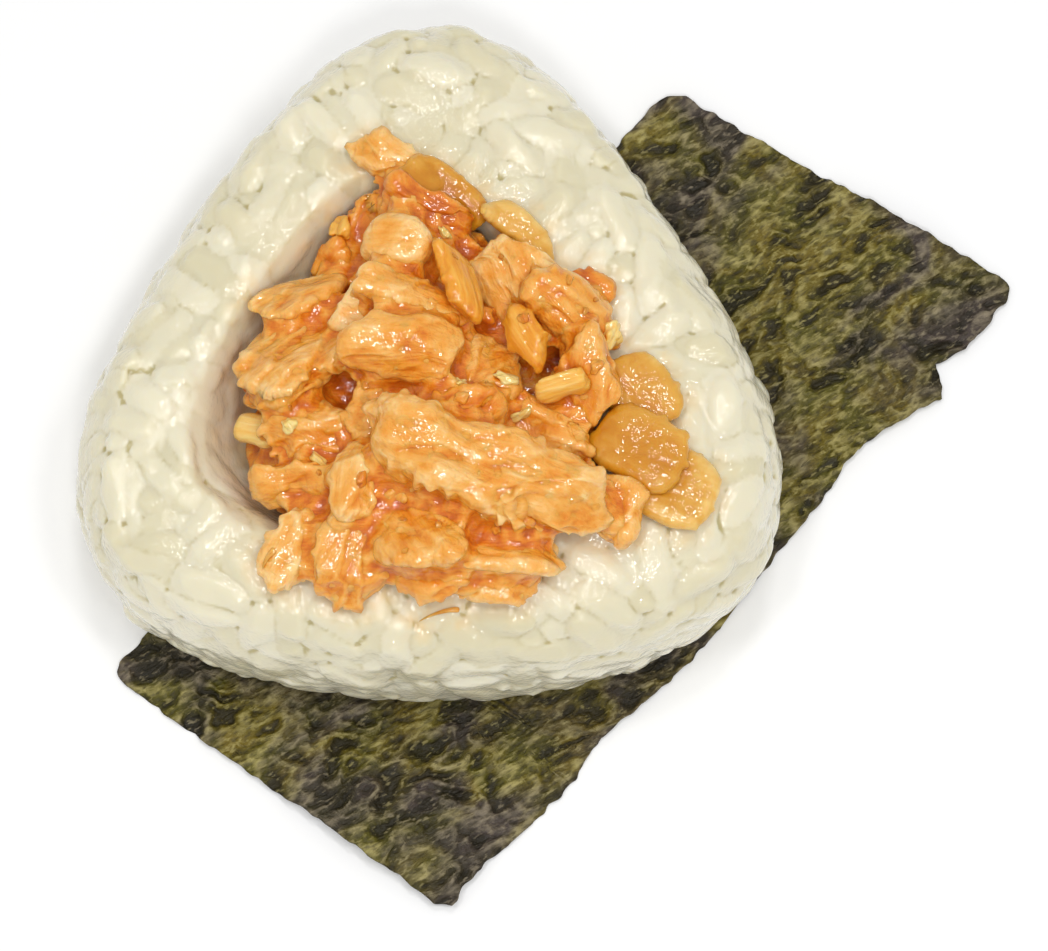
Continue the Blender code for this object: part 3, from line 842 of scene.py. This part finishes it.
def make_wisps(ground, chance, material):
    """The thin wisps of flesh that trail onto the rice."""
    bits = Bits()
    for number, (x, y, length, width, yaw, curl) in enumerate(WISPS):
        path = wisp_path(ground, x * MM, y * MM, length * MM, math.radians(yaw), curl)
        places, faces = wisp_mesh(path, width * MM, chance)
        fibres = [(index / WISP_SIDES, index % WISP_SIDES, number) for index in range(len(places))]
        bits.add(places, faces, WISP_TONE, fibres)
    return bits.finish("tendrils", "flaked_meat", material)


def stain_rice(rice, pieces):
    """Keep for each place of the rice how close the sauced filling is."""
    tree = tree_of([piece.data for piece in pieces])
    stain = np.zeros(len(rice.data.vertices))
    for index, place in enumerate(places_of(rice.data)):
        distance = tree.find_nearest(Vector(place), STAIN_REACH)[3]
        if distance is not None:
            stain[index] = 1 - distance / STAIN_REACH
    keep(rice.data, "stain", stain)


def make_filling(frame, rice, materials):
    kinds = [(FLAKES, FLESH_STRANDS, 7, "flesh"), (ONIONS, ONION_STRANDS, 57, "onion"),
             (GINGERS, GINGER_STRANDS, 77, "ginger")]
    slots = {"flesh": "flaked_meat", "onion": "onion", "ginger": "ginger"}
    pieces = []
    for looks, strands, first, kind in kinds:
        for number, (name, look) in enumerate(looks.items(), first):
            slot = "skin" if "skin" in name else slots[kind]
            pieces.append(dress_flake(frame, name, look + (strands,), number, materials[kind], slot))
    pieces.append(dress_bed(frame, pieces[:len(FLAKES)], materials["flesh"]))
    heap = Heap(pieces)
    pieces.append(make_crumbs(heap, random.Random(CRUMB_SEED), materials["flesh"]))
    pieces.append(make_nubs(heap, materials["ginger"]))
    pieces.append(make_wisps(Heap(pieces + [rice]), random.Random(WISP_SEED), materials["flesh"]))
    keep_depth(pieces, [rice])
    stain_rice(rice, pieces)


# ---------------- nori

def split_upper_faces(mesh):
    """Split each upper face of the strip once more, because only they are seen."""
    shape = bmesh.new()
    shape.from_mesh(mesh)
    edges = {edge for face in shape.faces if face.normal.z > UPPER_SLOPE for edge in face.edges}
    bmesh.ops.subdivide_edges(shape, edges=list(edges), cuts=1, use_grid_fill=True)
    shape.to_mesh(mesh)
    shape.free()


def wear_corners(places):
    """Draw the four pointed corners of the strip in towards its middle."""
    middle = places.mean(axis=0)
    tips = [places[places[:, axis].argmin()] for axis in (0, 1)]
    tips += [places[places[:, axis].argmax()] for axis in (0, 1)]
    for tip in [tip.copy() for tip in tips]:
        inward = (middle - tip)[:2] / np.linalg.norm((middle - tip)[:2])
        near = np.maximum(0, 1 - np.linalg.norm((places - tip)[:, :2], axis=1) / CORNER_REACH)
        places[:, :2] += np.outer(near ** 2 * CORNER_WEAR, inward)
    return places


def make_nori(frame, rice, materials):
    """The strip of nori: crumpled with short slanting wrinkles, and frayed along its edges."""
    piece = new_piece("nori_strip", welded_copy(frame["nodes"]["nori"]), materials["nori"])
    add_modifier(piece, "SUBSURF", subdivision_type="SIMPLE", levels=NORI_SUBDIVISIONS,
                 render_levels=NORI_SUBDIVISIONS)
    apply_modifiers(piece)
    mesh = piece.data
    split_upper_faces(mesh)
    tree = tree_of([rice.data])
    turn = Matrix.Rotation(-WRINKLE_YAW, 3, "Z")
    places = wear_corners(places_of(mesh))
    wrinkle = np.zeros(len(places))
    for index, place in enumerate(places):
        spot = Vector(place)
        flat = Vector((spot.x, spot.y, 0))
        turned = turn @ (flat + noise.noise_vector(flat / WOBBLE_SIZE) * WOBBLE * MM)
        turned = Vector((turned.x / WRINKLE_LENGTH, turned.y / WRINKLE_WIDTH, WRINKLE_LAYER))
        crest = WRINKLE_MEAN - WRINKLE_SWING * abs(noise.noise(turned))
        crinkle = noise.noise(flat / CRINKLE_SIZE)
        buckle = noise.noise(flat / BUCKLE_SIZE + BUCKLE_SHIFT)
        covered = tree.ray_cast(spot + UP * COVERED_START * MM, UP, COVERED_REACH)[0] is not None
        lift = WRINKLE_HEIGHT * crest + CRINKLE_HEIGHT * crinkle + BUCKLE_HEIGHT * max(0.0, buckle)
        lift = max(lift * (COVERED_RELIEF if covered else 1.0), -(1 - THINNEST) * spot.z)
        fray = noise.noise_vector(flat / FRAY_SIZE) * FRAY
        places[index] = spot + Vector((fray.x, fray.y, lift))
        # The wrinkle height is kept for the material's painted highlight on crests and painted shade in
        # grooves.
        wrinkle[index] = crest + CRINKLE_TONE * crinkle
    set_places(mesh, places)
    keep(mesh, "wrinkle", wrinkle)
    place_piece(piece, "nori", "nori")


# ---------------- materials

def colour(red, green, blue):
    """Linear colour of an sRGB colour given as 0 to 255."""
    def linear(value):
        value = value / 255
        return value / 12.92 if value <= 0.04045 else ((value + 0.055) / 1.055) ** 2.4
    return (linear(red), linear(green), linear(blue), 1.0)


class Nodes:
    """A material under construction, with a short call for each kind of node that is used here."""

    def __init__(self, name):
        self.material = bpy.data.materials.new(name)
        self.material.use_nodes = True
        self.tree = self.material.node_tree
        self.shader = self.tree.nodes["Principled BSDF"]
        coordinates = self.tree.nodes.new("ShaderNodeTexCoord").outputs["Object"]
        self.place = self.scaled(coordinates, (1 / MM, 1 / MM, 1 / MM))

    def put(self, value, socket):
        if isinstance(value, bpy.types.NodeSocket):
            self.tree.links.new(value, socket)
        else:
            socket.default_value = value

    def set(self, **values):
        """Set inputs of the shader; an underscore in a name stands for a space."""
        for name, value in values.items():
            self.put(value, self.shader.inputs[name.replace("_", " ")])

    def scaled(self, place, factors):
        node = self.tree.nodes.new("ShaderNodeVectorMath")
        node.operation = "MULTIPLY"
        self.put(place, node.inputs[0])
        self.put(factors, node.inputs[1])
        return node.outputs[0]

    def math(self, operation, first, second, clamp=False):
        node = self.tree.nodes.new("ShaderNodeMath")
        node.operation = operation
        node.use_clamp = clamp
        self.put(first, node.inputs[0])
        self.put(second, node.inputs[1])
        return node.outputs[0]

    def attribute(self, name, output="Fac"):
        node = self.tree.nodes.new("ShaderNodeAttribute")
        node.attribute_name = name
        return node.outputs[output]

    def vary(self, level, pattern, amount):
        """Raise or lower a level by a pattern of 0 to 1."""
        return self.math("ADD", level, self.math("MULTIPLY", self.math("SUBTRACT", pattern, 0.5), amount))

    def ridge_sauce_and_shade(self, level, amount):
        """Raise a level on crests, and lower it in grooves: paler flesh and gathered sauce, with painted
        highlight and painted shade.
        """
        return self.math("ADD", level, self.math("MULTIPLY", self.attribute("ridge"), amount))

    def cover_sauce_and_shade(self, level, amount):
        """Lower a level where other things stand over it: gathered sauce, and painted shade."""
        drop = self.math("MULTIPLY", self.attribute("depth"), amount)
        return self.math("SUBTRACT", level, drop, clamp=True)

    def noise(self, size, detail=2.0, place=None, stretch=(1, 1, 1), yaw=0.0, distortion=0.0):
        """Noise of about 0 to 1 with features of the given size in millimetres."""
        mapping = self.tree.nodes.new("ShaderNodeMapping")
        mapping.inputs["Rotation"].default_value = (0, 0, -yaw)
        self.put(place or self.place, mapping.inputs["Vector"])
        node = self.tree.nodes.new("ShaderNodeTexNoise")
        self.put(self.scaled(mapping.outputs[0], [1 / part for part in stretch]), node.inputs["Vector"])
        node.inputs["Scale"].default_value = 1 / size
        node.inputs["Detail"].default_value = detail
        node.inputs["Distortion"].default_value = distortion
        return node.outputs["Fac"]

    def ramp(self, factor, stops):
        """Turn a factor into what the stops say: each is a position, and a level or a colour."""
        node = self.tree.nodes.new("ShaderNodeValToRGB")
        elements = node.color_ramp.elements
        while len(elements) < len(stops):
            elements.new(0.5)
        for element, (position, value) in zip(elements, stops):
            element.position = position
            element.color = value if isinstance(value, tuple) else (value, value, value, 1)
        self.put(factor, node.inputs["Fac"])
        return node.outputs["Color"]

    def mix(self, factor, first, second):
        node = self.tree.nodes.new("ShaderNodeMix")
        node.data_type = "RGBA"
        self.put(factor, node.inputs["Factor"])
        self.put(first, node.inputs[6])
        self.put(second, node.inputs[7])
        return node.outputs[2]

    def bump(self, height, strength, distance, normal=None):
        """Bump of the given height in millimetres, over another's normal if there is one."""
        node = self.tree.nodes.new("ShaderNodeBump")
        self.put(height, node.inputs["Height"])
        node.inputs["Strength"].default_value = strength
        node.inputs["Distance"].default_value = distance * MM
        if normal is not None:
            self.put(normal, node.inputs["Normal"])
        return node.outputs["Normal"]

    def soft(self, weight, radius, reach):
        """Let light into the surface; the reach is in millimetres."""
        self.set(Subsurface_Weight=weight, Subsurface_Radius=radius, Subsurface_Scale=reach * MM)

    def wet(self, weight, roughness, size, depth, detail=0.5):
        """A film of moisture: a clear coat with small dents, which break up its sparkles."""
        dents = self.bump(self.noise(size, detail=detail), 1.0, depth)
        self.set(Coat_Weight=weight, Coat_Roughness=roughness, Coat_IOR=WET_IOR, Coat_Normal=dents)


RICE_TONES = [colour(217, 210, 180), colour(232, 227, 205)]
RICE_CREAM = colour(224, 212, 174)
# Painted shade in the creases and the pits between grains.
RICE_CREASE_SHADE = colour(200, 189, 142)
RICE_PIT_SHADE = colour(192, 178, 118)
SAUCE_STAIN = colour(234, 196, 122)


def rice_material():
    """Moist rice: milky, with olive painted shade in the creases and pits, and small wet sparkles."""
    make = Nodes("rice")
    base = make.mix(make.attribute("tone"), *RICE_TONES)
    base = make.mix(make.math("MULTIPLY", make.noise(5.0), 0.3), base, RICE_CREAM)
    open_parts = make.ramp(make.noise(2.6, detail=3.0), [(0.42, 0.1), (0.64, 0.9)])
    # Painted shade in the creases, where patches let it show, and in the pits.
    base = make.mix(make.math("MULTIPLY", make.attribute("crease"), open_parts), base, RICE_CREASE_SHADE)
    base = make.mix(make.ramp(make.attribute("pit"), [(0.3, 0.0), (0.7, 0.8)]), base, RICE_PIT_SHADE)
    cover = make.ramp(make.noise(2.0, detail=3.0), [(0.35, 0.0), (0.65, 1.0)])
    stain = make.math("MULTIPLY", make.attribute("stain"), cover)
    base = make.mix(make.math("MULTIPLY", stain, 0.6), base, SAUCE_STAIN)
    make.set(Base_Color=base, Roughness=0.4, Specular_IOR_Level=0.2)
    make.soft(0.9, (1.0, 0.88, 0.66), 2.0)
    make.wet(0.9, 0.07, size=0.62, depth=0.18, detail=1.5)
    return make.material


FLESH_TONES = [
    (0.0, colour(188, 90, 10)), (0.16, colour(210, 110, 16)), (0.36, colour(226, 136, 30)),
    (0.56, colour(235, 160, 58)), (0.78, colour(240, 180, 92)), (1.0, colour(247, 206, 138)),
]


def flesh_material():
    """Cooked fish in a wet orange sauce: pale on its crests and dark in grooves and under other pieces, from
    gathered sauce and from painted highlight and shade.
    """
    make = Nodes("flesh")
    fibre = make.attribute("fibre", "Vector")
    streak = make.noise(1.0, detail=5.0, place=fibre, stretch=(4.0, 0.7, 0.7))
    thread = make.noise(0.35, detail=2.0, place=fibre, stretch=(9.0, 0.8, 0.8))
    patch = make.noise(3.0, detail=5.0, distortion=0.8)
    torn = make.noise(1.3, detail=4.0, distortion=0.6)
    level = make.vary(make.attribute("tone"), streak, 0.5)
    level = make.vary(level, thread, 0.25)
    level = make.vary(level, patch, 0.95)
    # Painted highlight on crests and painted shade in grooves and under other pieces, along with the sauce
    # that gathers there.
    level = make.cover_sauce_and_shade(make.ridge_sauce_and_shade(level, 0.2), 0.45)
    normal = make.bump(torn, 0.7, 0.6)
    normal = make.bump(streak, 0.8, 0.3, normal)
    normal = make.bump(thread, 0.9, 0.1, normal)
    base = make.ramp(level, FLESH_TONES)
    make.set(Base_Color=base, Roughness=0.45, Specular_IOR_Level=0.15, Normal=normal)
    make.soft(0.45, (1.0, 0.5, 0.2), 0.8)
    make.wet(1.0, 0.06, size=0.65, depth=0.15)
    return make.material


ONION_TONES = [(0.0, colour(194, 116, 4)), (0.4, colour(208, 142, 28)), (0.7, colour(220, 166, 66)),
               (1.0, colour(234, 196, 116))]


def onion_material():
    """Soft golden onion, clear enough for the light to pass into it."""
    make = Nodes("onion")
    fibre = make.attribute("fibre", "Vector")
    vein = make.noise(1.2, detail=3.0, place=fibre, stretch=(5.0, 0.8, 0.8))
    mottle = make.noise(2.4, detail=5.0, distortion=0.8)
    level = make.vary(make.attribute("tone"), vein, 0.5)
    level = make.vary(level, mottle, 0.7)
    # Painted highlight on crests and painted shade in grooves and under other pieces, along with the sauce
    # that gathers there.
    level = make.cover_sauce_and_shade(make.ridge_sauce_and_shade(level, 0.2), 0.4)
    normal = make.bump(mottle, 0.5, 0.4)
    normal = make.bump(vein, 0.4, 0.12, normal)
    base = make.ramp(level, ONION_TONES)
    make.set(Base_Color=base, Roughness=0.45, Specular_IOR_Level=0.15, Normal=normal)
    make.soft(0.5, (1.0, 0.6, 0.25), 1.5)
    make.wet(1.0, 0.06, size=0.8, depth=0.3)
    return make.material


GINGER_TONES = [(0.0, colour(208, 112, 14)), (0.35, colour(232, 158, 44)), (0.65, colour(240, 188, 88)),
                (1.0, colour(246, 218, 142))]


def ginger_material():
    """Pale yellow ginger with fine threads along it."""
    make = Nodes("ginger")
    fibre = make.attribute("fibre", "Vector")
    thread = make.noise(0.7, detail=5.0, place=fibre, stretch=(6.0, 0.6, 0.6))
    # Darker under other pieces: gathered sauce and painted shade.
    level = make.cover_sauce_and_shade(make.vary(make.attribute("tone"), thread, 0.9), 0.5)
    normal = make.bump(thread, 0.8, 0.3)
    base = make.ramp(level, GINGER_TONES)
    make.set(Base_Color=base, Roughness=0.35, Specular_IOR_Level=0.15, Normal=normal)
    make.soft(0.5, (1.0, 0.7, 0.3), 1.0)
    make.wet(0.9, 0.06, size=0.6, depth=0.13)
    return make.material


# Each of the strip's looks is a mix of two colours.
NORI_DARK = [colour(48, 42, 18), colour(70, 60, 54)]
NORI_GREEN = [colour(88, 82, 18), colour(112, 96, 26)]
# Pale flecks, and painted highlight on the crests of the wrinkles.
NORI_PALE_AND_HIGHLIGHT = [colour(140, 128, 106), colour(172, 160, 98)]
# Painted shade in the grooves.
NORI_GROOVE_SHADE = colour(26, 22, 8)
NORI_SPECK = colour(40, 34, 16)


def nori_material():
    """Roasted nori: olive and near-black patches, crossed by short wrinkles with painted highlight on their
    crests and painted shade in their grooves.
    """
    make = Nodes("nori")
    patch = make.noise(12.0, detail=4.0, stretch=(1.3, 0.9, 1.0), yaw=WRINKLE_YAW, distortion=1.0)
    tint = make.noise(6.5, detail=4.0, distortion=0.8)
    streak = make.noise(1.3, detail=6.0, stretch=(2.2, 0.9, 1.0), yaw=WRINKLE_YAW, distortion=0.6)
    fleck = make.noise(0.6, detail=4.0, stretch=(1.8, 0.8, 1.0), yaw=WRINKLE_YAW)
    dark = make.mix(make.ramp(tint, [(0.38, 0.0), (0.6, 1.0)]), *NORI_DARK)
    green = make.mix(make.ramp(tint, [(0.4, 0.0), (0.62, 1.0)]), *NORI_GREEN)
    base = make.mix(make.ramp(patch, [(0.42, 0.0), (0.58, 1.0)]), dark, green)
    pale = make.mix(make.ramp(patch, [(0.4, 0.0), (0.6, 1.0)]), *NORI_PALE_AND_HIGHLIGHT)
    crest = make.math("ADD", make.math("MULTIPLY", make.attribute("wrinkle"), 0.6), streak)
    # Painted highlight on the crests, and painted shade in the grooves.
    base = make.mix(make.ramp(crest, [(0.52, 0.0), (0.86, 0.9)]), base, pale)
    base = make.mix(make.ramp(crest, [(0.16, 0.85), (0.44, 0.0)]), base, NORI_GROOVE_SHADE)
    base = make.mix(make.ramp(fleck, [(0.36, 0.55), (0.5, 0.0)]), base, NORI_SPECK)
    base = make.mix(make.ramp(fleck, [(0.56, 0.0), (0.68, 0.6)]), base, pale)
    normal = make.bump(streak, 1.0, 0.8)
    normal = make.bump(fleck, 0.8, 0.4, normal)
    make.set(Base_Color=base, Roughness=0.5, Normal=normal, Specular_IOR_Level=0.3)
    return make.material


def make_materials():
    return {"rice": rice_material(), "flesh": flesh_material(), "onion": onion_material(),
            "ginger": ginger_material(), "nori": nori_material()}


# ---------------- stage

def make_stage():
    bpy.ops.mesh.primitive_plane_add(size=FLOOR_SIZE, location=(0, 0, -FLOOR_DROP))
    floor = bpy.context.active_object
    floor.name = "floor"
    make = Nodes("floor")
    make.set(Base_Color=(0.95, 0.95, 0.95, 1), Roughness=0.7)
    floor.data.materials.append(make.material)


def area_light(name, place, energy):
    light = bpy.data.lights.new(name, "AREA")
    light.size = LAMP_SIZE
    light.energy = energy
    lamp = bpy.data.objects.new(name, light)
    lamp.location = place
    lamp.rotation_euler = (LAMP_TARGET - Vector(place)).to_track_quat("-Z", "Y").to_euler()
    bpy.context.scene.collection.objects.link(lamp)


def make_light():
    world = bpy.data.worlds.new("studio")
    bpy.context.scene.world = world
    world.use_nodes = True
    background = world.node_tree.nodes["Background"]
    background.inputs["Color"].default_value = (1, 1, 1, 1)
    background.inputs["Strength"].default_value = WORLD_LIGHT
    for number, (place, energy) in enumerate(LAMPS):
        area_light(f"lamp_{number}", place, energy)


def make_camera():
    camera = bpy.data.cameras.new("view")
    camera.sensor_width = SENSOR_WIDTH
    camera.lens = SENSOR_WIDTH * VIEW_DISTANCE / FRAME_WIDTH
    camera.clip_start = 0.01
    holder = bpy.data.objects.new("view", camera)
    holder.location = VIEW_TARGET + Vector((0, -math.sin(VIEW_TILT), math.cos(VIEW_TILT))) * VIEW_DISTANCE
    holder.rotation_euler = (VIEW_TILT, 0, 0)
    bpy.context.scene.collection.objects.link(holder)
    bpy.context.scene.camera = holder


noise.seed_set(NOISE_SEED)
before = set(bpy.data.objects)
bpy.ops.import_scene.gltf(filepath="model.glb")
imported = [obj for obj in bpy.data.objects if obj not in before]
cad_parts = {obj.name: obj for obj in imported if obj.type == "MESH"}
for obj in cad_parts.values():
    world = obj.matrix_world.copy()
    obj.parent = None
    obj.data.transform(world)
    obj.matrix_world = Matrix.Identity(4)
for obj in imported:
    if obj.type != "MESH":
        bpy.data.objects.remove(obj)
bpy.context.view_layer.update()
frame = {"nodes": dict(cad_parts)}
bpy.context.scene.view_settings.view_transform = "Standard"
materials = make_materials()
rice = make_rice(frame, materials)
make_filling(frame, rice, materials)
make_nori(frame, rice, materials)
make_stage()
make_light()
make_camera()
